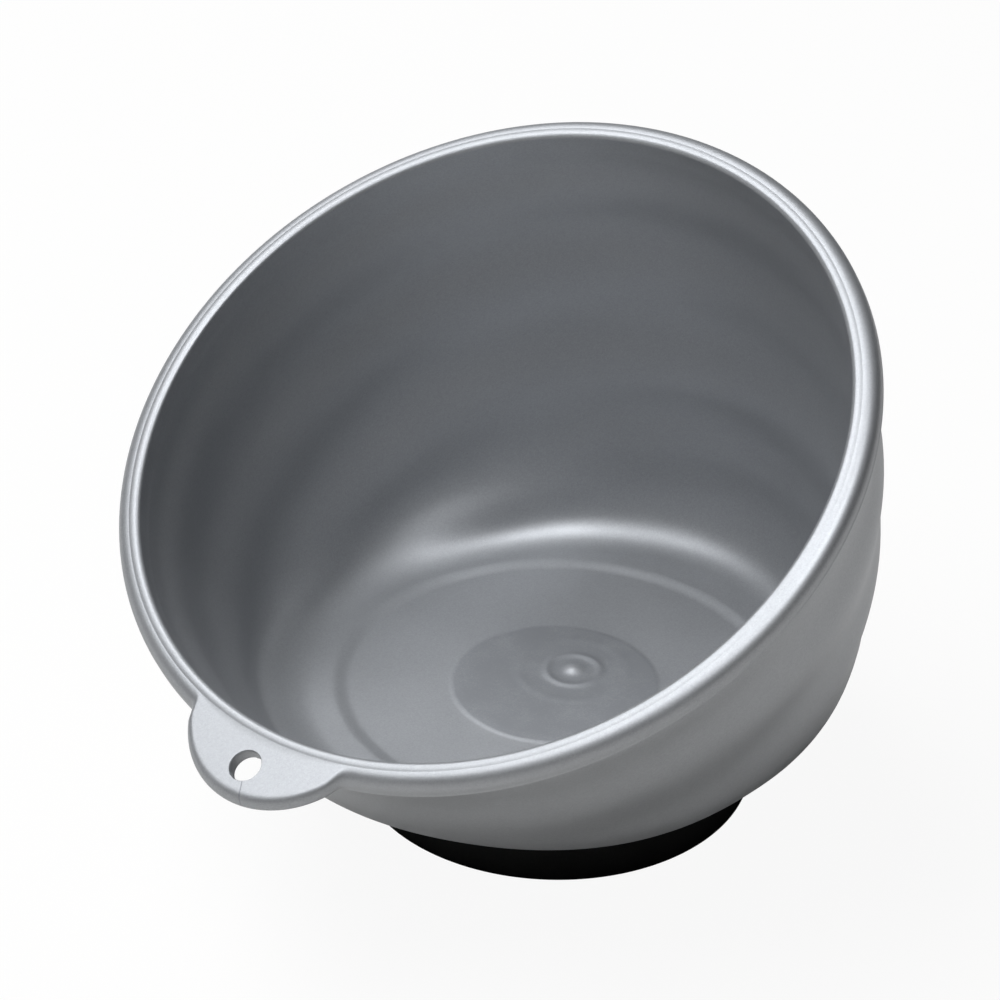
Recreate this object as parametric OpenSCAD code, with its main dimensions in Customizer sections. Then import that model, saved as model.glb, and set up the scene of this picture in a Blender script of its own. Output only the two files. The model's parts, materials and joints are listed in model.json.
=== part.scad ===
// Magnetic parts tray: a slanted round bowl on a flat magnetic base, with a hanging tab.
// Millimetres, +Z up. The origin is the centre of the resting face, and the tab points along -Y.

/* [Bowl] */
// Outer diameter of the rim bead
rim_d = 150; // [136:1:170]
// Slant of the mouth against the resting face, in degrees
lean = 30; // [20:1:34]
// Length of the bent centre line, from the underside to the rim
bowl_depth = 72.5; // [62:0.5:88]
// How far the bowl sits toward the tab on its base
bowl_shift = 3; // [0:0.5:4]
// Thickness of the side wall
wall_t = 2; // [1.8:0.1:2.8]
// Thickness of the floor
floor_t = 2.7; // [2:0.1:4]
// Diameter that the side wall would have at the underside
heel_d = 112.5; // [106:0.5:122]
// How much the side wall bows out: 1 is a straight cone
wall_bow = 1.7; // [1:0.1:2.2]
// Width of the rounding between side wall and underside
corner_w = 14; // [10:0.5:15]
// Height of the rounding between side wall and underside
corner_h = 18.5; // [12:0.5:24]
// How much fuller the bowl is low down at its back
swell_w = 8.8; // [0:0.2:10]
// Height of the ripples in the side wall
ripple_h = 0.25; // [0:0.05:0.6]
// Distance from ripple to ripple
ripple_pitch = 22; // [16:1:30]
// Depth of the first groove below the rim
ripple_start = 14; // [8:1:18]

/* [Rim] */
// Width of the rim bead
bead_w = 5; // [4.4:0.1:6]
// Height of the rim bead
bead_h = 4.2; // [3.6:0.1:6]
// Rounding of the rim bead
bead_round = 1.7; // [0.8:0.1:1.7]
// How far the bead stands out from the side wall
bead_out = 3.1; // [2.4:0.1:3.4]
// Width of the raised lip along the inner edge
lip_w = 1.5; // [1:0.1:2]
// Height of the raised lip above the bead
lip_h = 0.5; // [0.2:0.1:1]

/* [Hanging tab] */
// Radius of the tab's outline
tab_r = 20; // [16:0.5:24]
// How far the tab reaches past the rim
tab_reach = 10; // [8:0.5:13]
// Thickness of the tab
tab_t = 2.8; // [2.2:0.1:3.8]
// How far the tab's top lies below the bead's
tab_drop = 0.1; // [0.05:0.05:0.8]
// Diameter of the hanging hole
hole_d = 6; // [4:0.5:7]
// Distance from the rim's outer edge to the hole's centre
hole_out = 3.2; // [2:0.1:4.5]

/* [Floor marks] */
// Height of the faint disc in the floor, which lies over the hub
disc_h = 0.3; // [0.1:0.1:0.6]
// Distance of the gate mark from the centre, away from the tab
gate_y = 6; // [0:0.5:8]
// Diameter of the gate mark's ring
gate_d = 11; // [8:0.5:14]
// Diameter of the nub in the gate mark
nub_d = 3.4; // [2:0.1:5]
// Height of the gate mark above the raised disc
gate_h = 0.4; // [0.2:0.1:0.8]

/* [Base] */
// Diameter of the base
base_d = 80; // [76:1:82]
// Thickness of the base's side wall
cup_wall = 2.5; // [1.8:0.1:3]
// Thickness of the base's floor
cup_floor = 2; // [1.5:0.1:3]
// Thickness of the pad
pad_t = 1.5; // [1:0.1:2.5]
// How far the pad stands below the base
pad_proud = 0.5; // [0.2:0.1:0.8]
// Width of the base's edge around the pad
pad_edge = 2.5; // [1.5:0.1:4]

/* [Magnet] */
// Gap between the ring magnet and the base's side wall
magnet_gap = 1.5; // [0.5:0.1:4]
// Thickness of the ring magnet
magnet_t = 9; // [7:0.5:12]
// Thickness of the steel backing plate
plate_t = 1.5; // [1:0.1:2]
// Thickness of the foam ring
foam_t = 3; // [2.5:0.1:4]
// Width of the foam ring, as a share of the room between hub and locating ring
foam_share = 0.8; // [0.4:0.05:0.95]

/* [Fixing] */
// Diameter of the bowl's hub inside the magnet, as a share of the base's
hub_share = 0.52; // [0.45:0.01:0.55]
// Wall of the hub and of the locating ring
rib_t = 2.2; // [1.5:0.1:3]
// How far the hub reaches down into the magnet
hub_in = 4; // [2:0.5:6]
// Length of the ring that centres the base on the bowl
spigot_h = 2; // [1:0.1:2.2]
// Diameter of the screw boss
boss_d = 11; // [9:0.5:14]
// Core diameter of the screw
screw_d = 3.8; // [3:0.1:4.5]
// Diameter of the screw's head
head_d = 8.4; // [7:0.1:9]
// Height of the screw's head
head_h = 2.4; // [1.8:0.1:2.8]
// Distance from the screw's tip up to the bowl's underside
tip_gap = 2; // [1:0.1:3]
// Width of the cross recess in the screw's head
cross_w = 1; // [0.8:0.1:1.3]
// Outer diameter of the washer
washer_d = 12; // [10:0.1:13]
// Thickness of the washer
washer_t = 1; // [0.6:0.1:1.2]
// Thickness of the base where the screw clamps it
clamp_t = 2.5; // [1.5:0.1:3]

/* [Fit] */
// Gap around pieces that slide into place
slip = 0.3; // [0.1:0.05:0.5]
// Gap around the screw in its boss
thread_gap = 0.05; // [0.02:0.01:0.1]
// Gap between the screw's head and the pad
head_gap = 0.6; // [0.3:0.1:1]

/* [Smoothness] */
// Facets around the bowl
ring_facets = 56; // [48:4:72]
// Rows of facets up the bowl
wall_rows = 18; // [16:1:26]

/* [Hidden] */
$fn = 96;
bite = 0.5;

// Base stack, from the resting face up. The bowl's underside lies on top of it.
base_r = base_d / 2;
cup_z = pad_proud;
cup_in_r = base_r - cup_wall;
deck_z = pad_t + cup_floor;
magnet_z = deck_z + magnet_t;
plate_z = magnet_z + plate_t;
base_h = plate_z + foam_t;
magnet_r = cup_in_r - magnet_gap;
hub_r = base_r * hub_share;
magnet_in_r = hub_r + slip;
hub_z = magnet_z - hub_in;
spigot_r = cup_in_r - slip;
foam_r = magnet_in_r + foam_share * (spigot_r - rib_t - magnet_in_r);
head_z = pad_t + head_gap;
washer_z = head_z + head_h;
clamp_z = washer_z + washer_t;
boss_z = clamp_z + clamp_t;
screw_top = base_h - tip_gap;
pocket_r = washer_d / 2 + slip;
turret_r = pocket_r + cup_wall;

// Rim: the centre line is an arc that starts upright at the underside and ends at the slant.
rim_r = rim_d / 2;
bend_r = bowl_depth * 180 / (PI * lean);
rim_y = -bowl_shift - bend_r * (1 - cos(lean));
rim_z = base_h + bend_r * sin(lean);
rim_normal = [0, -sin(lean), cos(lean)];
bead_in_r = rim_r - bead_w;
top_r = rim_r - bead_out;
heel_r = heel_d / 2;
floor_z = base_h + floor_t;
wall_top = bowl_depth - bite;
level_h = 8;
swell_from = 0.58;
swell_low = 6;
swell_high = 34;
cove_less_w = 2;
cove_less_h = 3;

// Tab: measured in the rim's plane, with -Y downhill.
tab_y = -(rim_r + tab_reach - tab_r);
tab_top = bead_h / 2 - tab_drop;
hole_y = -(rim_r + hole_out);
tab_cut_r = rim_r - bead_w / 2;

// Bowl wall. Each section is a circle round the bent centre line, and slant and ripples fade in.
function fade(up) = min(1, max(0, up) / level_h);
function tilt(h, up) = lean * h / bowl_depth * fade(up);
function spine(h) = [
    0,
    -bowl_shift - bend_r * (1 - cos(lean * h / bowl_depth)),
    base_h + bend_r * sin(lean * h / bowl_depth)
];
function side_r(h) = top_r - (top_r - heel_r) * pow(1 - h / bowl_depth, wall_bow);
function rounding(up, w, tall) = up >= tall ? 0 : w * (1 - sqrt(1 - pow(1 - up / tall, 2)));
function outer_r(h) = side_r(h) - rounding(h, corner_w, corner_h);
function inner_r(h) =
    let (w = corner_w - wall_t - cove_less_w, tall = corner_h - floor_t - cove_less_h)
    side_r(h) - wall_t - rounding(h - floor_t, w, tall);
function section_point(h, r, a, t) = spine(h) + r * [cos(a), sin(a) * cos(t), sin(a) * sin(t)];

// The swell is widest straight behind, and fades out to the sides and up the wall.
function swell(h, a) =
    let (up = min(1, max(0, h - swell_low) / (swell_high - swell_low)))
    let (behind = max(0, sin(a) - swell_from) / (1 - swell_from))
    swell_w * pow(behind, 1.2) * (1 - up * up * (3 - 2 * up));

// Ripples run parallel to the rim, so they follow the depth below its plane.
function rim_depth(p) = -(p - [0, rim_y, rim_z]) * rim_normal;
function ripple(p, up) =
    let (depth = rim_depth(p))
    -ripple_h * fade(up) * fade(depth) * cos(360 * (depth - ripple_start) / ripple_pitch);
function wall_point(h, r, a, up) =
    let (t = tilt(h, up))
    section_point(h, r + ripple(section_point(h, r, a, t), up), a, t);
function row_h(i, low) = low + (wall_top - low) * pow(i / wall_rows, 1.3);

module rounded_bar(w, h, r) {
    translate([r, 0]) square([w - 2 * r, h]);
    translate([0, r]) square([w, h - 2 * r]);
    for (x = [r, w - r])
        for (y = [r, h - r])
            translate([x, y]) circle(r);
}

module ring(outer, inner, low, high) {
    rotate_extrude()
        translate([inner, low])
            square([outer - inner, high - low]);
}

module in_rim_plane() {
    translate([0, rim_y, rim_z])
        rotate([lean, 0, 0])
            children();
}

module bowl_shell() {
    angles = [for (k = [0:ring_facets - 1]) 360 * k / ring_facets];
    outside = [for (i = [0:wall_rows], a = angles)
        let (h = row_h(i, 0))
        wall_point(h, outer_r(h) + swell(h, a), a, h)];
    inside = [for (i = [wall_rows:-1:0], a = angles)
        let (h = row_h(i, floor_t))
        wall_point(h, inner_r(h) + swell(h, a), a, h - floor_t)];
    rings = 2 * wall_rows + 2;
    n = ring_facets;
    sides = [for (i = [0:rings - 2], k = [0:n - 1])
        let (a = i * n + k, b = i * n + (k + 1) % n)
        each [[a, a + n, b], [b, a + n, b + n]]];
    underside = [for (k = [0:n - 1]) k];
    floor_face = [for (k = [n - 1:-1:0]) (rings - 1) * n + k];
    polyhedron(concat(outside, inside), concat(sides, [underside, floor_face]));
}

module rim_bead() {
    rotate_extrude() {
        translate([bead_in_r, -bead_h / 2]) rounded_bar(bead_w, bead_h, bead_round);
        translate([bead_in_r, 0]) rounded_bar(lip_w, bead_h / 2 + lip_h, lip_w / 3);
    }
}

module hanging_tab() {
    difference() {
        translate([0, tab_y, tab_top - tab_t])
            rotate_extrude()
                difference() {
                    translate([-tab_r, 0]) rounded_bar(2 * tab_r, tab_t, tab_t / 3);
                    translate([-2 * tab_r, -tab_t]) square([2 * tab_r, 3 * tab_t]);
                }
        cylinder(r = tab_cut_r, h = 4 * bead_h, center = true);
    }
}

module floor_marks() {
    low = floor_z - bite;
    translate([0, 0, low]) cylinder(r = hub_r, h = bite + disc_h);
    translate([0, gate_y, 0]) {
        ring(gate_d / 2, gate_d / 2 - gate_h * 2, low, floor_z + disc_h + gate_h / 2);
        translate([0, 0, low]) cylinder(d = nub_d, h = bite + disc_h + gate_h);
    }
}

module underside_ribs() {
    high = base_h + bite;
    ring(hub_r, hub_r - rib_t, hub_z, high);
    ring(spigot_r, spigot_r - rib_t, base_h - spigot_h, high);
    translate([0, 0, boss_z]) cylinder(d = boss_d, h = high - boss_z);
}

module bowl() {
    color("silver")
        difference() {
            union() {
                bowl_shell();
                in_rim_plane() {
                    rim_bead();
                    hanging_tab();
                }
                floor_marks();
                underside_ribs();
            }
            in_rim_plane()
                translate([0, hole_y, 0])
                    cylinder(d = hole_d, h = 4 * bead_h, center = true);
            translate([0, 0, boss_z - bite])
                cylinder(d = screw_d + 2 * thread_gap, h = screw_top - boss_z + 2 * bite);
        }
}

module base_cup() {
    color([0.06, 0.06, 0.06])
        difference() {
            union() {
                difference() {
                    translate([0, 0, cup_z]) cylinder(r = base_r, h = base_h - cup_z);
                    translate([0, 0, deck_z]) cylinder(r = cup_in_r, h = base_h);
                }
                translate([0, 0, pad_t]) cylinder(r = turret_r, h = boss_z - pad_t);
            }
            cylinder(r = base_r - pad_edge, h = pad_t);
            cylinder(r = pocket_r, h = clamp_z);
            cylinder(d = screw_d + 2 * slip, h = base_h);
        }
}

module base_pad() {
    color([0.1, 0.1, 0.1])
        cylinder(r = base_r - pad_edge - slip, h = pad_t);
}

module ring_magnet() {
    color([0.2, 0.2, 0.21])
        ring(magnet_r, magnet_in_r, deck_z, magnet_z);
}

module backing_plate() {
    color("lightgray")
        ring(magnet_r, magnet_in_r, magnet_z, plate_z);
}

module foam_ring() {
    color("dimgray")
        ring(foam_r, magnet_in_r, plate_z, base_h);
}

module washer() {
    color("lightgray")
        ring(washer_d / 2, screw_d / 2 + slip, washer_z, clamp_z);
}

module screw() {
    color("gainsboro")
        difference() {
            union() {
                translate([0, 0, head_z]) cylinder(d = head_d, h = head_h);
                translate([0, 0, head_z]) cylinder(d = screw_d, h = screw_top - head_z);
            }
            for (turn = [0, 90])
                rotate(turn)
                    translate([-head_d / 4, -cross_w / 2, head_z - bite])
                        cube([head_d / 2, cross_w, bite + head_h / 2]);
        }
}

bowl();
base_cup();
base_pad();
ring_magnet();
backing_plate();
foam_ring();
washer();
screw();
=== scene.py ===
# %% [markdown]
# # A magnetic parts tray
#
# This lesson dresses a small workshop bowl: one silver-grey moulding with a slanted mouth and a
# hanging tab, on a black round base that hides a ring magnet. The solids come from a CAD model,
# which fixes every size and place. Here the moulding gets its smooth wall, its fine rim and its
# finish, and each piece gets a material.

# %% Load the frame
import json
import math

import bmesh
import bpy
import numpy as np
from mathutils import Matrix, Vector


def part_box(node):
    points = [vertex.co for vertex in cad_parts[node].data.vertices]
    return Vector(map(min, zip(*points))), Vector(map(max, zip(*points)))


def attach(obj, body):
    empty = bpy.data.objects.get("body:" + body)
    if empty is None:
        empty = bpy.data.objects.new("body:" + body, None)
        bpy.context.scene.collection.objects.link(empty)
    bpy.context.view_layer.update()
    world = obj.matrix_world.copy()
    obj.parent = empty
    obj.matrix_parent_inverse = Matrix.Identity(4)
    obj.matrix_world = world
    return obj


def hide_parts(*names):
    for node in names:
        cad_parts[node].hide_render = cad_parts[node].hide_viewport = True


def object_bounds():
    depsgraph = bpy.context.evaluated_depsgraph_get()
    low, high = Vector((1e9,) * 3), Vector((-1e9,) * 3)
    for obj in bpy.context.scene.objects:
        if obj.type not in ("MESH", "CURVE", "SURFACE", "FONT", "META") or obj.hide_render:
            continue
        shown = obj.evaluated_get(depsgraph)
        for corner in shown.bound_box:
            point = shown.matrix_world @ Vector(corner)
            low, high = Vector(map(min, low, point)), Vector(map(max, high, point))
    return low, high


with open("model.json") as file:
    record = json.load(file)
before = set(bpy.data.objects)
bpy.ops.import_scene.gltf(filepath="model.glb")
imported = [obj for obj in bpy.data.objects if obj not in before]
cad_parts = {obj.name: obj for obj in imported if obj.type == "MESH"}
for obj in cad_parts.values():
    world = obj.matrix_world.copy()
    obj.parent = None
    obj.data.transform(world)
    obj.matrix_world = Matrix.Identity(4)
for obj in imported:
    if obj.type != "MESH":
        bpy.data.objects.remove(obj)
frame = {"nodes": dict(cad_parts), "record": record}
cad_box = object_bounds()
nodes = frame["nodes"]
MM = 0.001
print("nodes:", ", ".join(sorted(nodes)))
print("CAD box in mm:", [round(side / MM, 1) for side in cad_box[1] - cad_box[0]])

# %% [markdown]
# ## Shader arithmetic
#
# A finish is mostly sums of a few noise patterns. Wiring Math nodes by hand hides those sums, so
# this small class wraps a socket and lets Python write them: `0.4 + 0.1 * grain` adds the two Math
# nodes by itself. Every other node comes from one method, which takes the node's type, then its
# settings, then the values or links of its sockets.

# %% Write shader sums as Python
class Wire:
    """A shader socket that takes part in arithmetic."""

    def __init__(self, tree, socket=None):
        self.tree = tree
        self.socket = socket

    def node(self, kind, settings=None, sockets=None, out=0):
        made = self.tree.nodes.new("ShaderNode" + kind)
        for name, value in (settings or {}).items():
            setattr(made, name, value)
        for name, value in (sockets or {}).items():
            if isinstance(value, Wire):
                self.tree.links.new(value.socket, made.inputs[name])
            else:
                made.inputs[name].default_value = value
        return Wire(self.tree, made.outputs[out] if made.outputs else None)

    def math(self, operation, first, second=0.0):
        return self.node("Math", {"operation": operation}, {0: first, 1: second})

    def __add__(self, other):
        return self.math("ADD", self, other)

    def __sub__(self, other):
        return self.math("SUBTRACT", self, other)

    def __rsub__(self, other):
        return self.math("SUBTRACT", other, self)

    def __mul__(self, other):
        return self.math("MULTIPLY", self, other)

    def __abs__(self):
        return self.math("ABSOLUTE", self)

    __radd__ = __add__
    __rmul__ = __mul__

    def step(self, low, high):
        """0 below low, 1 above high, and a smooth rise between them."""
        return self.node("MapRange", {"interpolation_type": "SMOOTHSTEP"},
                         {"Value": self, "From Min": low, "From Max": high})

    def along(self, direction):
        """How far this point lies along a direction."""
        return self.node("VectorMath", {"operation": "DOT_PRODUCT"}, {0: self, 1: direction}, out="Value")

    def noise(self, size, detail=2.0, roughness=0.5):
        """Soft noise whose blotches are about size metres wide, from 0 to 1."""
        return self.node("TexNoise", None, {"Vector": self, "Scale": 1 / size, "Detail": detail,
                                            "Roughness": roughness})

    def blend(self, first, second):
        """A mix of two colours, chosen by this value."""
        first, second = (c if isinstance(c, Wire) else (*c, 1) for c in (first, second))
        return self.node("Mix", {"data_type": "RGBA"}, {0: self, 6: first, 7: second}, out=2)


def blank_material(name):
    material = bpy.data.materials.new(name)
    material.use_nodes = True
    return material, Wire(material.node_tree)


def dress(material, sockets):
    """Sets or links sockets of the material's shader."""
    shader = material.node_tree.nodes["Principled BSDF"]
    for name, value in sockets.items():
        if isinstance(value, Wire):
            material.node_tree.links.new(value.socket, shader.inputs[name])
        else:
            shader.inputs[name].default_value = value
    print("finish:", material.name, "with", len(material.node_tree.nodes), "nodes")
    return material


# %% [markdown]
# ## The camera
#
# A long lens some distance away gives the calm, nearly parallel lines of a product picture. The
# camera is described as a photographer would: the side it stands on, how high, how far, and how
# much it is moved across to frame the bowl. Its three axes are worked out from those values, so
# nothing has to be aimed by eye.

# %% Set up the camera
view_azimuth = math.radians(38.93)
view_elevation = math.radians(31.48)
view_roll = math.radians(0.76)
view_distance = 750 * MM
view_across = -10.75 * MM
view_up = 53.62 * MM
lens_per_width = 3.687
film_width = 36

back = Vector((math.sin(view_azimuth) * math.cos(view_elevation),
               -math.cos(view_azimuth) * math.cos(view_elevation),
               math.sin(view_elevation)))
level = Vector((math.cos(view_azimuth), math.sin(view_azimuth), 0))
upright = back.cross(level)
right = level * math.cos(view_roll) + upright * math.sin(view_roll)
up = upright * math.cos(view_roll) - level * math.sin(view_roll)

camera_data = bpy.data.cameras.new("camera")
camera_data.sensor_width = film_width
camera_data.lens = lens_per_width * film_width
camera = bpy.data.objects.new("camera", camera_data)
bpy.context.collection.objects.link(camera)
camera.matrix_world = Matrix((right, up, back)).transposed().to_4x4()
camera.location = right * view_across + up * view_up + back * view_distance
bpy.context.scene.camera = camera
print("lens in mm:", round(camera_data.lens, 1))

# %% [markdown]
# ## The studio
#
# A silver surface is mostly a picture of what stands round it. A long soft box overhead, to the left,
# makes the rim, the tab and the floor bright, and leaves the left wall in its own shade. A narrow
# card on the right is only mirrored and lights nothing: it draws the bright ring round the floor.
# The pale table throws light back on the outside wall. The room in front stays dim, and so the
# inside of the bowl, which mirrors it, stays dark. The table's own colour makes the pale background,
# and a share of plain white keeps its shadow light. In reflections that white starts a little way
# from the base, where the bowl's shadow ends.

# %% Build the studio
scene = bpy.context.scene
scene.view_settings.view_transform = "Standard"
softbox_wide = 1.4
softbox_long = 0.65
softbox_place = (-0.42, -0.26, 1.15)
softbox_power = 18.5
card_wide = 0.3
card_long = 0.6
card_place = (0.42, -0.17, 1.12)
card_power = 11.0
lamp_colour = (0.965, 0.98, 1.0)
room_light = 0.01
room_colour = (0.93, 0.97, 1.0)
table_side = 30.0
table_gap = 0.05 * MM
table_grey = 0.96
table_tint = (1.0, 0.98, 0.94)
table_white = 0.93
mirror_white = 0.8
mirror_from = (0.06, 0.12)


def make_world():
    world = bpy.data.worlds.new("room")
    world.use_nodes = True
    room = world.node_tree.nodes["Background"]
    room.inputs["Color"].default_value = (*room_colour, 1)
    room.inputs["Strength"].default_value = room_light
    scene.world = world


def make_lamp(name, wide, long, place, power):
    lamp = bpy.data.lights.new(name, "AREA")
    lamp.shape = "RECTANGLE"
    lamp.size = wide
    lamp.size_y = long
    lamp.energy = power
    lamp.color = lamp_colour
    box = bpy.data.objects.new(name, lamp)
    box.location = place
    box.rotation_euler = Vector(place).to_track_quat("Z", "Y").to_euler()
    bpy.context.collection.objects.link(box)
    return box


def table_finish():
    material, start = blank_material("pale_table")
    material.node_tree.nodes.clear()
    paint = [table_grey * share for share in table_tint]
    board = start.node("BsdfDiffuse", None, {"Color": (*paint, 1)})
    white = start.node("Emission", None, {"Color": (1, 1, 1, 1), "Strength": 1.0})
    clear = start.node("BsdfTransparent")
    seen = start.node("LightPath", out="Is Camera Ray")
    mirrored = start.node("LightPath", out="Is Glossy Ray")
    place = start.node("NewGeometry", out="Position")
    far = start.node("VectorMath", {"operation": "LENGTH"}, {0: place}, out="Value").step(*mirror_from)
    share = table_white * seen + mirror_white * far * mirrored
    top = start.node("MixShader", None, {0: share, 1: board, 2: white})
    below = start.node("NewGeometry", out="Backfacing")
    surface = start.node("MixShader", None, {0: below, 1: top, 2: clear})
    start.node("OutputMaterial", None, {"Surface": surface})
    return material


def make_table():
    half = table_side / 2
    low = cad_box[0].z - table_gap
    mesh = bpy.data.meshes.new("table")
    corners = [(-half, -half, low), (half, -half, low), (half, half, low), (-half, half, low)]
    mesh.from_pydata(corners, [], [(0, 1, 2, 3)])
    mesh.materials.append(table_finish())
    table = bpy.data.objects.new("table", mesh)
    bpy.context.collection.objects.link(table)


make_world()
make_lamp("softbox", softbox_wide, softbox_long, softbox_place, softbox_power)
card = make_lamp("card", card_wide, card_long, card_place, card_power)
card.visible_diffuse = False
make_table()
print("softbox:", softbox_wide, "m wide,", softbox_power, "W")

# %% [markdown]
# ## The bowl's law
#
# The bowl is a stack of circles along a bent centre line: level at the underside, slanted at the
# rim. The circles grow on a bowed curve, and close with a rounding at the bottom. Soft ripples from
# the mould run parallel to the rim, so they follow the depth below the rim's plane. Outside they are
# calmer at the back, and inside they are stronger on the left. Numbers are in millimetres here,
# because that is how the part was drawn, and meshes are scaled to metres later. The lean and the
# hole come from the frame's own record.

# %% Bowl sizes
mounts = {mount["name"]: mount for mount in frame["record"]["mounts"]}
hole_axis = mounts["hang_hole"]["axis"]
hole_radius = mounts["hang_hole"]["dims"]["r_mm"]
lean = math.atan2(-hole_axis[1], hole_axis[2])
base_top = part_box("base_cup")[1].z / MM
base_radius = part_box("base_cup")[1].x / MM

bowl_depth = 72.5
bowl_shift = 3.0
wall = 2.0
floor_thick = 2.7
top_radius = 71.9
heel_radius = 56.25
wall_bow = 1.7
corner_wide = 14.0
corner_high = 18.5
ripple_high = 0.4
back_calm = 0.65
calm_from = 0.5
calm_over = 0.4
inside_ripple = 0.5
left_ripple = 0.25
ripple_pitch = 22.0
ripple_start = 14.0
ripple_below = 2.0
level_high = 8.0
heel_full = 8.65
heel_from = 0.4
heel_power = 1.9
heel_fade = (6.0, 34.0)
cove_wide = 9.5
cove_high = 12.0
cove_full = 0.7
ledge_high = 0.8

bend_radius = bowl_depth / lean
rim_centre = np.array([0, -bowl_shift - bend_radius * (1 - math.cos(lean)),
                       base_top + bend_radius * math.sin(lean)])
rim_normal = np.array([0, -math.sin(lean), math.cos(lean)])
rim_uphill = np.array([0, math.cos(lean), math.sin(lean)])
hole_place = np.array(mounts["hang_hole"]["pos_m"]) / MM - rim_centre
hole_uphill = hole_place @ rim_uphill
print("lean in degrees:", round(math.degrees(lean), 2), "rim centre:", rim_centre.round(2))

# %% [markdown]
# The columns of the mesh are directions round the bowl. They crowd together on the tab's side,
# where the outline bends sharply, and spread out on the plain far side.

# %% Columns round the bowl
columns = 312
crowding = 0.62
tab_direction = -math.pi / 2
even = np.linspace(-math.pi, math.pi, columns, endpoint=False) + math.pi / columns
angles = tab_direction + even - crowding * np.sin(even)


def smooth(share):
    share = np.clip(share, 0, 1)
    return share * share * (3 - 2 * share)


def between(first, last, share):
    return first + (last - first) * share


def on_rim(across, uphill, height):
    """A point given in the rim's own plane."""
    across, uphill, height = np.broadcast_arrays(across, uphill, height)
    flat = np.stack([across, 0 * across, 0 * across], -1)
    return rim_centre + flat + uphill[..., None] * rim_uphill + height[..., None] * rim_normal


def rim_depth(points):
    return -(points - rim_centre) @ rim_normal


def section_point(along, radius, turn):
    """Points of one circle round the bent centre line, tipped by a turn."""
    bend = lean * along / bowl_depth
    across = radius * np.cos(angles)
    reach = radius * np.sin(angles)
    forward = -bowl_shift - bend_radius * (1 - np.cos(bend)) + reach * np.cos(turn)
    high = base_top + bend_radius * np.sin(bend) + reach * np.sin(turn)
    return np.stack(np.broadcast_arrays(across, forward, high), -1)


def side_radius(along):
    return top_radius - (top_radius - heel_radius) * np.clip(1 - along / bowl_depth, 0, 1) ** wall_bow


def rounding(rise, wide, high):
    """How far a rounded bottom edge draws the wall in, at a height above it."""
    left = np.clip(1 - rise / high, 0, 1)
    return wide * (1 - np.sqrt(1 - left * left))


def wall_point(along, radius, rise, ripple):
    """Points of the wall at one height: level near the bottom, and rippled between there and the rim."""
    turn = lean * along / bowl_depth * smooth(rise / level_high)
    depth = rim_depth(section_point(along, radius, turn))
    swell = smooth(rise / level_high) * smooth((depth - ripple_below) / level_high)
    wave = -ripple * swell * np.cos(2 * math.pi * (depth - ripple_start) / ripple_pitch)
    return section_point(along, radius + wave, turn)


def heel(along):
    """How much fuller the bowl is low down at its back."""
    behind = np.clip((np.sin(angles) - heel_from) / (1 - heel_from), 0, 1) ** heel_power
    low, high = heel_fade
    return heel_full * behind * (1 - smooth((along - low) / (high - low)))


def outside(along):
    radius = side_radius(along) - rounding(along, corner_wide, corner_high) + heel(along)
    ripple = ripple_high * (1 - back_calm * smooth((np.sin(angles) - calm_from) / calm_over))
    return wall_point(along, radius, along, ripple)


def inside_radius(along):
    rise = along - floor_thick - ledge_high
    radius = side_radius(along) - wall - rounding(rise, cove_wide, cove_high)
    return radius + cove_full * (1 - smooth(2 * rise / cove_high))


def inside(along):
    ripple = inside_ripple - left_ripple * np.cos(angles)
    return wall_point(along, inside_radius(along) + heel(along), along - floor_thick, ripple)


search_span = (0.7, 1.1)
search_rounds = 40


def top_of(surface, depth):
    """How far along the centre line each column of a surface meets a depth below the rim."""
    low, high = (np.full(columns, bowl_depth * share) for share in search_span)
    for _ in range(search_rounds):
        middle = (low + high) / 2
        deep = rim_depth(surface(middle)) > depth
        low = np.where(deep, middle, low)
        high = np.where(deep, high, middle)
    return low


print("columns:", columns, "narrowest in degrees:", round(math.degrees(np.diff(angles).min()), 2))

# %% [markdown]
# ## The bowl's wall
#
# Outside and inside are two sheets of the same law, a wall's thickness apart. Both start with rows
# set evenly round the bottom rounding, and go on with even rows up to the rim. Inside, that rounding
# is a wide cove that begins on a low ledge round the floor. Low down at its back the bowl is fuller,
# which gives the floor more room there.

# %% Rows of the wall
corner_rows = 22
wall_rows = 50
bead_low = -2.25
wall_gap = 0.1


def steps(count):
    """Even steps from 0 to 1, without the 0."""
    return np.linspace(0, 1, count + 1)[1:]


def wall_sheet(surface, low, high, depth):
    """Rows of a surface: round its corner between two heights, then up to a depth below the rim."""
    sweep = np.linspace(0, math.pi / 2, corner_rows)
    corner = [surface(np.full(columns, between(low, high, 1 - math.cos(turn)))) for turn in sweep]
    top = top_of(surface, depth)
    side = [surface(between(high, top, share)) for share in steps(wall_rows)]
    return corner + side


ledge_along = floor_thick + ledge_high
wall_end = wall_gap - bead_low
outside_rows = wall_sheet(outside, 0, corner_high, wall_end)
inside_rows = wall_sheet(inside, ledge_along, ledge_along + cove_high, wall_end)[::-1]
print("wall rows:", len(outside_rows), "outside,", len(inside_rows), "inside")

# %% [markdown]
# ## The rim and the tab
#
# The rim is a bead with a broad round shoulder and a narrow, slightly raised lip along its inner edge.
# A fine ridge under the bead is where the two halves of the mould met. The hanging tab is the same
# bead pulled outward: where the tab's outline leaves the rim's circle, the side of the bead moves
# out with it, and its lower half stays behind as a root. So rim and tab are one skin, and their
# corner is rounded with no seam. For that, both outlines have the same number of points.

# %% Outline of the tab
bead_radius = 74.9
bead_top = 2.1
bead_round = 2.7
tab_radius = 20.0
tab_reach = 10.0
tab_thick = 2.8
tab_round = 2.0
tab_under_round = 0.7
tab_corner = 2.6
tab_centre = bead_radius + tab_reach - tab_radius


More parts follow.
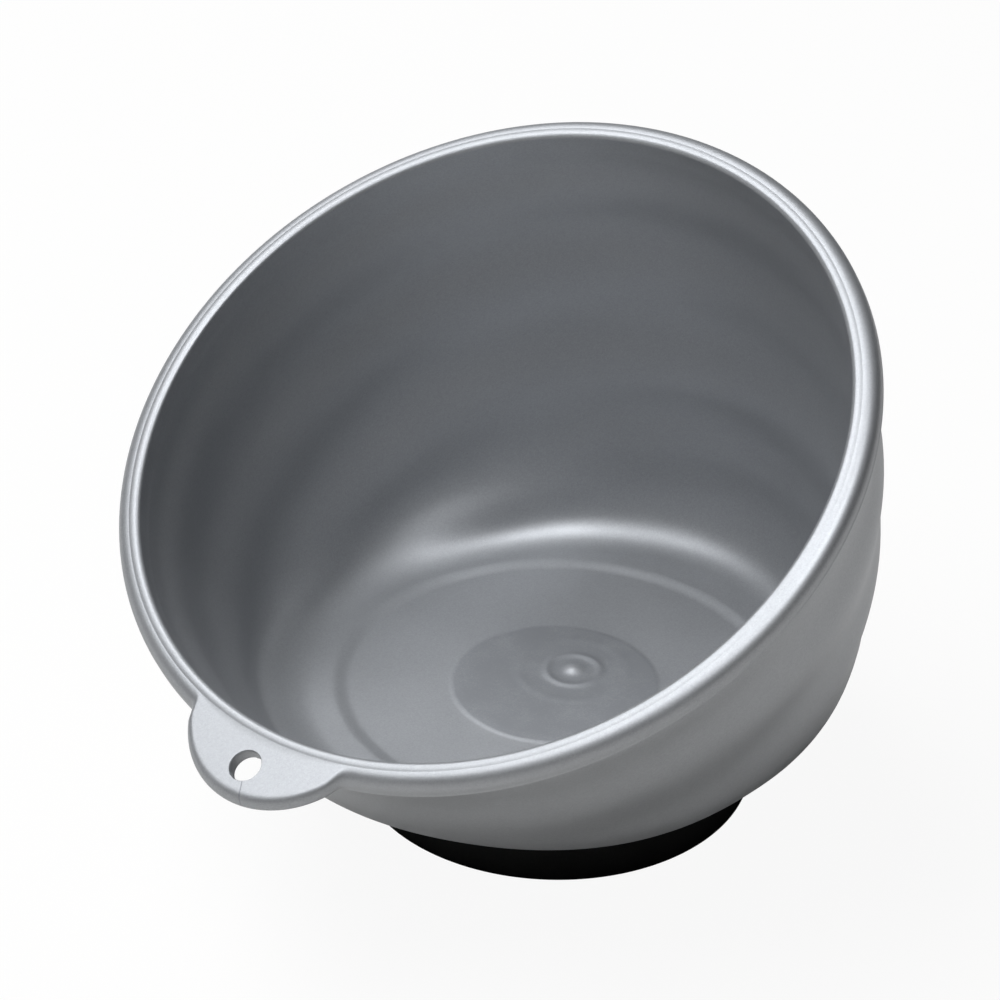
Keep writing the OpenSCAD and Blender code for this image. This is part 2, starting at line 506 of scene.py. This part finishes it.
def smooth_max(first, second, width):
    """The larger of two values, with a rounded changeover."""
    near = np.clip(width - np.abs(first - second), 0, None)
    return np.maximum(first, second) + near * near / (4 * width)


def tab_outline():
    """Distance from the rim's centre to the outline, for every column."""
    turn = np.abs(angles - tab_direction)
    turn = np.minimum(turn, 2 * math.pi - turn)
    sideways = np.clip(tab_centre * np.sin(turn), None, tab_radius)
    circle = tab_centre * np.cos(turn) + np.sqrt(tab_radius ** 2 - sideways ** 2)
    circle = np.where(turn < math.asin(tab_radius / tab_centre), circle, 0)
    return smooth_max(bead_radius, circle, tab_corner)


outline = tab_outline()
print("tab reaches", round(outline.max() - bead_radius, 2), "mm past the rim")

# %% Rows of the rim and the tab
def arc(centre_r, centre_z, radius, first, last, count):
    sweep = np.radians(np.linspace(first, last, count))
    return [(centre_r + radius * math.cos(t), centre_z + radius * math.sin(t)) for t in sweep]


def straight(first, last, count):
    return [tuple(p) for p in np.linspace(first, last, count)]


root = [(72.05, bead_low), (72.8, -2.12), (74.1, -2.05), (74.75, -1.95), (74.92, -1.8)]
nose_rows = 11
flat_rows = 8
flat_end = (72.0, bead_top)
lip_inner = 69.9


def bead_profile():
    ridge = [(74.95, -1.62), (74.93, -1.48), (74.9, -1.38)]
    side = straight((bead_radius, -1.1), (bead_radius, -0.6), 12)
    nose = arc(bead_radius - bead_round, bead_top - bead_round, bead_round, 6, 90, nose_rows)
    flat = straight((bead_radius - bead_round - 0.15, bead_top), flat_end, flat_rows)
    return np.array(root + ridge + side + nose + flat)


def tab_profile(reach):
    under = bead_top - tab_thick
    run_end = reach - tab_under_round
    step = [(74.97, -1.3), (75.03, under - 0.2), (75.2, under)]
    run = straight((min(75.6, run_end - 0.1), under), (run_end, under), 6)
    lower = arc(run_end, under + tab_under_round, tab_under_round, -60, 0, 4)
    side = straight((reach, 0.02), (reach, bead_top - tab_round - 0.02), 2)
    upper = arc(reach - tab_round, bead_top - tab_round, tab_round, 6, 90, nose_rows)
    flat = straight((reach - tab_round - 0.2, bead_top), flat_end, flat_rows)
    return np.array(root + step + run + lower + side + upper + flat)


def lip_profile():
    dome = arc(71.1, -0.35, 2.6, 72, 102, 9)
    inner_edge = arc(70.7, 1.37, 0.8, 108, 176, 8)
    inner = [(lip_inner, height) for height in (1.0, 0.5, 0.0, -1.0, -2.0)]
    return np.array(dome + inner_edge + inner)


def rim_rows():
    bead = bead_profile()
    lip = lip_profile()
    profiles = []
    for reach in outline:
        share = smooth((reach - bead_radius) / tab_corner)
        profiles.append(np.concatenate([between(bead, tab_profile(reach), share), lip]))
    radius, height = np.moveaxis(np.array(profiles), 2, 0)
    points = on_rim(radius * np.cos(angles)[:, None], radius * np.sin(angles)[:, None], height)
    return list(np.moveaxis(points, 1, 0))


rim = rim_rows()
print("rim rows:", len(rim))

# %% [markdown]
# ## The floor
#
# The floor is flat, and a soft step lifts it to the ledge at its edge. It has the marks of its making:
# a faint disc over the hub underneath, and off its centre the gate, where the plastic ran into the
# mould. The gate left a nub and two soft rings. The rows drift from one centre to the next as they
# shrink, so all the marks lie in one skin.

# %% Rows of the floor
floor_high = base_top + floor_thick
ledge_radius = 45.4
ledge_inner = 41.6
ledge_uphill = 0.8
ledge_gap = 0.3
ledge_rows = 7
rise_rows = 12
plain_rows = 9
hub_share = 0.52
disc_radius = base_radius * hub_share
disc_high = 0.2
disc_soft = 0.8
edge_rows = 6
disc_rows = 5
# Radius and height of the nub, then radius, height and width of each ring round it
gate_nub = (1.7, 0.7)
gate_rings = ((5.4, 0.26, 0.9), (10.9, 0.07, 1.2))
gate_uphill = 6.0
gate_reach = 13.0
gate_end = 0.25
gate_rows = 46


def flat_ring(radius, uphill, high):
    return np.stack([radius * np.cos(angles), uphill + radius * np.sin(angles), 0 * angles + high], -1)


def gate_height(radius):
    height = gate_nub[1] * math.exp(-(radius / gate_nub[0]) ** 2)
    for ring, high, wide in gate_rings:
        height += high * math.exp(-((radius - ring) / wide) ** 2)
    return height


def floor_rows():
    edge = inside_rows[-1]
    room = np.hypot(edge[:, 0], edge[:, 1] - ledge_uphill) - ledge_gap
    ledge_outer = np.minimum(ledge_radius, room)
    ledge_end = flat_ring(ledge_outer, ledge_uphill, floor_high + ledge_high)
    ledge = [between(edge, ledge_end, s) for s in steps(ledge_rows)]
    rise = [flat_ring(between(ledge_outer, ledge_inner, s), ledge_uphill,
                      floor_high + ledge_high * smooth(1 - s)) for s in steps(rise_rows)]
    disc_outer = disc_radius + disc_soft
    disc_inner = disc_radius - disc_soft
    plain = [flat_ring(between(ledge_inner, disc_outer, s), ledge_uphill * (1 - s), floor_high)
             for s in steps(plain_rows)]
    disc_top = floor_high + disc_high
    disc_edge = [flat_ring(between(disc_outer, disc_inner, s), 0, floor_high + disc_high * smooth(s))
                 for s in steps(edge_rows)]
    disc = [flat_ring(between(disc_inner, gate_reach, s), gate_uphill * s,
                      disc_top + gate_height(gate_reach) * s) for s in steps(disc_rows)]
    gate = [flat_ring(r, gate_uphill, disc_top + gate_height(r))
            for r in np.linspace(gate_reach, gate_end, gate_rows)[1:]]
    return ledge + rise + plain + disc_edge + disc + gate


floor = floor_rows()
print("floor rows:", len(floor))

# %% [markdown]
# ## The underside
#
# Under the floor are the ribs that the base hides: a hub inside the ring magnet, a ring that
# centres the base, and the boss for the screw. They are plain turned steps, and their sizes repeat
# those of the solids.

# %% Rows of the underside
boss_low = 8.0
hub_low = 8.5
screw_hole = (1.95, 15.5)
rib_thick = 2.2
locating_radius = 37.2
locating_low = base_top - 2.0
boss_radius = 5.5


def rib(radius, low):
    return [(radius - rib_thick, base_top), (radius - rib_thick, low), (radius, low), (radius, base_top)]


def underside_rows():
    corners = [screw_hole, (screw_hole[0], boss_low), (boss_radius, boss_low), (boss_radius, base_top)]
    corners += rib(disc_radius, hub_low) + rib(locating_radius, locating_low)
    return [flat_ring(radius, 0, high) for radius, high in corners]


underside = underside_rows()
print("underside rows:", len(underside))

# %% [markdown]
# ## One skin
#
# The rows are joined into one closed mesh, ring by ring, with a small fan at each end.

# %% Join rows into meshes
crisp_angle = math.radians(38)


def skin(name, rows, material=None, loop=False):
    """A closed mesh from rings of points. A loop joins its last ring to its first."""
    rows = np.array(rows)
    count, around = rows.shape[:2]
    points = [tuple(p) for p in rows.reshape(-1, 3) * MM]
    faces = []
    for row in range(count if loop else count - 1):
        after = (row + 1) % count
        for k in range(around):
            n = (k + 1) % around
            faces.append((row * around + k, row * around + n, after * around + n, after * around + k))
    if not loop:
        for row in (0, count - 1):
            middle = len(points)
            points.append(tuple(rows[row].mean(0) * MM))
            faces += [(row * around + k, row * around + (k + 1) % around, middle) for k in range(around)]
    mesh = bpy.data.meshes.new(name)
    mesh.from_pydata(points, [], faces)
    if material:
        mesh.materials.append(material)
    piece = bpy.data.objects.new(name, mesh)
    bpy.context.collection.objects.link(piece)
    tidy(piece)
    return piece


def tidy(piece):
    """Turns faces outward, smooths them, and keeps edges sharper than an angle crisp."""
    work = bmesh.new()
    work.from_mesh(piece.data)
    bmesh.ops.recalc_face_normals(work, faces=work.faces)
    open_edges = sum(len(edge.link_faces) != 2 for edge in work.edges)
    work.to_mesh(piece.data)
    work.free()
    piece.data.shade_smooth()
    piece.data.set_sharp_from_angle(angle=crisp_angle)
    print(piece.name, len(piece.data.polygons), "faces,", open_edges, "open edges")


# %% [markdown]
# The hole in the tab is cut into the finished skin, with a spool-shaped cutter, which leaves its two
# edges slightly rounded. A cut through so many small faces leaves slivers, and these are cleared.

# %% Cut the hole
hole_centre = Vector(on_rim(0.0, hole_uphill, 0.0)) * MM
hole_edge = [(0.0, 0.4), (0.06, 0.2), (0.2, 0.0)]
cutter_columns = 96
cutter_flare = 1.2
cutter_reach = 3.0
mend_reach = 8 * MM
mend_gap = 0.02 * MM


def spool():
    """The cutter's outline: straight inside the tab, rounded at its two faces, and flared beyond them."""
    under = bead_top - tab_thick
    flared = hole_radius + cutter_flare
    lower = [(hole_radius + out, under + deep) for out, deep in hole_edge[::-1]]
    upper = [(hole_radius + out, bead_top - deep) for out, deep in hole_edge]
    return [(flared, under - cutter_reach)] + lower + upper + [(flared, bead_top + cutter_reach)]


def mend(piece, centre, reach, gap):
    """Clears the slivers that a cut leaves near a point."""
    work = bmesh.new()
    work.from_mesh(piece.data)
    corners = [corner for corner in work.verts if (corner.co - centre).length < reach]
    bmesh.ops.remove_doubles(work, verts=corners, dist=gap)
    faces = [face for face in work.faces if (face.calc_center_median() - centre).length < reach]
    bmesh.ops.triangulate(work, faces=faces)
    edges = [edge for edge in work.edges if (edge.verts[0].co - centre).length < reach]
    bmesh.ops.dissolve_degenerate(work, edges=edges, dist=gap)
    work.to_mesh(piece.data)
    work.free()


def cut_hole(piece):
    spread = np.linspace(0, 2 * math.pi, cutter_columns, endpoint=False)
    rows = [on_rim(r * np.cos(spread), hole_uphill + r * np.sin(spread), z) for r, z in spool()]
    cutter = skin("hole_cutter", rows)
    cut = piece.modifiers.new("hole", "BOOLEAN")
    cut.object = cutter
    cut.solver = "EXACT"
    view = bpy.context.evaluated_depsgraph_get()
    holed = bpy.data.meshes.new_from_object(piece.evaluated_get(view))
    piece.modifiers.clear()
    piece.data = holed
    bpy.data.objects.remove(cutter)
    mend(piece, hole_centre, mend_reach, mend_gap)
    tidy(piece)


# %% [markdown]
# ## Silver plastic
#
# The bowl is grey plastic full of tiny metal flakes, moulded with a satin skin. The flakes make it
# act like a dull metal: it mirrors broad shapes softly, and close up it has a fine bright grain.
# So the shader is mostly metallic and fairly rough, cells a quarter of a millimetre wide vary its
# brightness, and slow clouds stand for the way the flakes settled. A hairline on the tab marks
# where two streams of plastic met behind the hole. The floor's disc is a little darker and blotchy.
# The gate's nub is painted lighter, a painted highlight for the light caught on its sloped top.

# %% Mix the silver plastic
weld_turn = math.radians(26)
weld_thin = (0.05 * MM, 0.22 * MM)
weld_start = (hole_radius * MM, (hole_radius + 0.4) * MM)
weld_end = (7 * MM, 9 * MM)
floor_from = ((floor_high - 0.6) * MM, (floor_high - 0.3) * MM)
flakes_per_metre = 4200.0
silver_dark = (0.297, 0.306, 0.321)
silver_light = (0.448, 0.457, 0.471)
silver_metal = 0.6
silver_rough = 0.5
silver_gloss = 0.1
disc_darken = 0.45
# Strength of the painted highlight on the gate's nub, then the soft width of its edge in millimetres
gate_painted_highlight = 0.9
gate_highlight_soft = 1.2


def weld_line(place):
    """A hairline from the hole to the tab's edge, 1 on the line and 0 elsewhere."""
    outward = Vector((math.sin(weld_turn), *(-math.cos(weld_turn) * rim_uphill[1:])))
    sideways = Vector((math.cos(weld_turn), *(math.sin(weld_turn) * rim_uphill[1:])))
    reach = place.along(outward) - hole_centre.dot(outward)
    aside = abs(place.along(sideways) - hole_centre.dot(sideways))
    thin = 1 - aside.step(*weld_thin)
    return thin * reach.step(*weld_start) * (1 - reach.step(*weld_end))


def floor_spot(place, uphill, radius, soft):
    """1 on the bowl's floor within a radius of an upright axis, 0 elsewhere. Sizes in millimetres."""
    level = place.node("VectorMath", {"operation": "MULTIPLY"}, {0: place, 1: (1, 1, 0)})
    away = place.node("VectorMath", {"operation": "DISTANCE"},
                      {0: level, 1: (0, uphill * MM, 0)}, out="Value")
    above = place.along((0, 0, 1)).step(*floor_from)
    return above * (1 - away.step((radius - soft) * MM, (radius + soft) * MM))


def silver_plastic():
    material, start = blank_material("silver_plastic")
    place = start.node("TexCoord", out="Object")
    flakes = start.node("TexVoronoi", {"feature": "F1"},
                        {"Vector": place, "Scale": flakes_per_metre}, out="Color")
    flakes = flakes.along((0.33, 0.33, 0.33))
    grain = place.noise(0.00035, 2.0, 0.6)
    clouds = place.noise(0.022, 3.0, 0.55)
    seam = weld_line(place)
    # Mask of the disc over the hub, where the colour is made a little darker and blotchy
    disc = floor_spot(place, 0, disc_radius, disc_soft)
    # Mask of the gate's nub, where a painted highlight lightens the colour
    gate = floor_spot(place, gate_uphill, gate_nub[0], gate_highlight_soft)
    blotches = place.noise(0.007, 3.0, 0.6)
    shade = 0.5 + 0.5 * (flakes - 0.5) + 0.25 * (grain - 0.5) + 0.25 * (clouds - 0.5) - 1.2 * seam
    # Painted highlight: the gate's nub is made lighter. The disc is made a little darker and blotchy.
    shade = shade + gate_painted_highlight * gate - disc * (disc_darken + 0.9 * (blotches - 0.5))
    colour = shade.blend(silver_dark, silver_light)
    rough = silver_rough + 0.1 * (clouds - 0.5) + 0.08 * (grain - 0.5)
    relief = 0.5 * grain + 0.5 * flakes - 8.0 * seam
    bump = start.node("Bump", None, {"Strength": 0.3, "Distance": 0.000008, "Height": relief})
    return dress(material, {"Base Color": colour, "Roughness": rough, "Normal": bump,
                            "Metallic": silver_metal, "Specular IOR Level": silver_gloss})


silver = silver_plastic()

# %% Make the bowl
bowl = skin("bowl_moulding", underside + outside_rows + rim + inside_rows + floor, silver)
cut_hole(bowl)
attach(bowl, "root")
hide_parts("bowl")

# %% [markdown]
# ## Black plastic and the base
#
# The base is a plain black cup, moulded with a fine matte texture that swallows nearly all light.
# It is a turned shape, so its outline is drawn once and swept round: a wall, a deck for the magnet
# and a turret for the screw. Small roundings at its edges catch a thin line of light.

# %% Mix the black plastic
black_dark = (0.017, 0.017, 0.0175)
black_light = (0.036, 0.036, 0.0365)
black_gloss = 0.06


def black_plastic():
    material, start = blank_material("black_plastic")
    place = start.node("TexCoord", out="Object")
    texture = place.noise(0.0006, 3.0, 0.6)
    clouds = place.noise(0.015, 2.0)
    shade = 0.5 + 0.7 * (texture - 0.5) + 0.5 * (clouds - 0.5)
    colour = shade.blend(black_dark, black_light)
    rough = 0.75 + 0.15 * (texture - 0.5)
    bump = start.node("Bump", None, {"Strength": 0.4, "Distance": 0.00003, "Height": texture})
    return dress(material, {"Base Color": colour, "Roughness": rough, "Normal": bump,
                            "Specular IOR Level": black_gloss})


black = black_plastic()

# %% Make the base
base_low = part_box("base_cup")[0].z / MM
pad_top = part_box("base_pad")[1].z / MM
pad_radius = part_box("base_pad")[1].x / MM
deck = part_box("ring_magnet")[0].z / MM
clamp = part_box("washer")[1].z / MM
cup_wall = 2.5
turret_radius = 8.8
pocket_radius = 6.3
screw_clear = 2.2
pad_gap = 0.3
foot_round = 0.8
brim_round = 0.4
turned_columns = 192


def turned(name, outline_points, material, loop):
    spread = np.linspace(0, 2 * math.pi, turned_columns, endpoint=False)
    rows = [np.stack([r * np.cos(spread), r * np.sin(spread), 0 * spread + z], -1)
            for r, z in outline_points]
    return skin(name, rows, material, loop)


def base_outline():
    recess = pad_radius + pad_gap
    foot = arc(base_radius - foot_round, base_low + foot_round, foot_round, -90, 0, 7)
    brim = arc(base_radius - brim_round, base_top - brim_round, brim_round, 0, 90, 5)
    inner = base_radius - cup_wall
    hollow = [(inner, base_top), (inner, deck), (turret_radius, deck), (turret_radius, boss_low)]
    core = [(screw_clear, boss_low), (screw_clear, clamp)]
    core += [(pocket_radius, clamp), (pocket_radius, pad_top)]
    return [(recess, pad_top), (recess, base_low)] + foot + brim + hollow + core


base = turned("base_moulding", base_outline(), black, loop=True)
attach(base, "root")
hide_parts("base_cup")

# %% [markdown]
# ## The pad
#
# A thin rubber sheet under the base keeps the magnet from scratching and slipping. It is turned
# too, with soft edges and a few shallow grip rings in its face.

# %% Make the pad
rubber_dark = (0.012, 0.012, 0.012)
rubber_light = (0.045, 0.045, 0.044)
pad_middle = 0.5
pad_low_round = 0.3
pad_top_round = 0.2
grip_deep = 0.25


def pad_rubber():
    material, start = blank_material("pad_rubber")
    place = start.node("TexCoord", out="Object")
    grain = place.noise(0.0004, 3.0, 0.65)
    dust = place.noise(0.006, 4.0, 0.7)
    shade = 0.4 + 0.5 * (grain - 0.5) + 0.6 * (dust - 0.5)
    colour = shade.blend(rubber_dark, rubber_light)
    bump = start.node("Bump", None, {"Strength": 0.6, "Distance": 0.00005, "Height": grain})
    rough = 0.78 + 0.2 * (dust - 0.5)
    return dress(material, {"Base Color": colour, "Roughness": rough, "Normal": bump})


def pad_outline():
    grip = [(pad_middle, 0.0)]
    for ring in range(6, 34, 4):
        grip += [(ring, 0.0), (ring + 0.15, grip_deep), (ring + 0.85, grip_deep), (ring + 1.0, 0.0)]
    low_edge = arc(pad_radius - pad_low_round, pad_low_round, pad_low_round, -90, 0, 5)
    top_edge = arc(pad_radius - pad_top_round, pad_top - pad_top_round, pad_top_round, 0, 90, 4)
    return grip + low_edge + top_edge + [(pad_middle, pad_top)]


pad = turned("pad_sheet", pad_outline(), pad_rubber(), loop=False)
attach(pad, "root")
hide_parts("base_pad")

# %% [markdown]
# ## The pieces inside
#
# The magnet, its steel plate, the foam and the fixing are closed in. Their solids are right as they
# are, so they only get finishes: dull pressed ferrite, zinc plate with its faint blotches, and foam.

# %% Finish the hidden pieces
def speckled(name, dark, light, size, rough, metallic, relief):
    material, start = blank_material(name)
    place = start.node("TexCoord", out="Object")
    grain = place.noise(size, 4.0, 0.65)
    colour = (0.5 + 1.2 * (grain - 0.5)).blend(dark, light)
    bump = start.node("Bump", None, {"Strength": 0.5, "Distance": relief, "Height": grain})
    rough = rough + 0.2 * (grain - 0.5)
    return dress(material, {"Base Color": colour, "Roughness": rough, "Normal": bump, "Metallic": metallic})


ferrite = speckled("ferrite", (0.03, 0.03, 0.032), (0.09, 0.09, 0.095), 0.0008, 0.6, 0.1, 0.00004)
zinc = speckled("zinc_plate", (0.5, 0.51, 0.53), (0.72, 0.73, 0.75), 0.004, 0.32, 1.0, 0.00001)
foam = speckled("foam", (0.02, 0.02, 0.02), (0.08, 0.08, 0.08), 0.0007, 0.9, 0.0, 0.0002)
hidden = {"ring_magnet": ferrite, "backing_plate": zinc, "washer": zinc, "screw": zinc, "foam_ring": foam}
for name, finish in hidden.items():
    nodes[name].data.materials.clear()
    nodes[name].data.materials.append(finish)
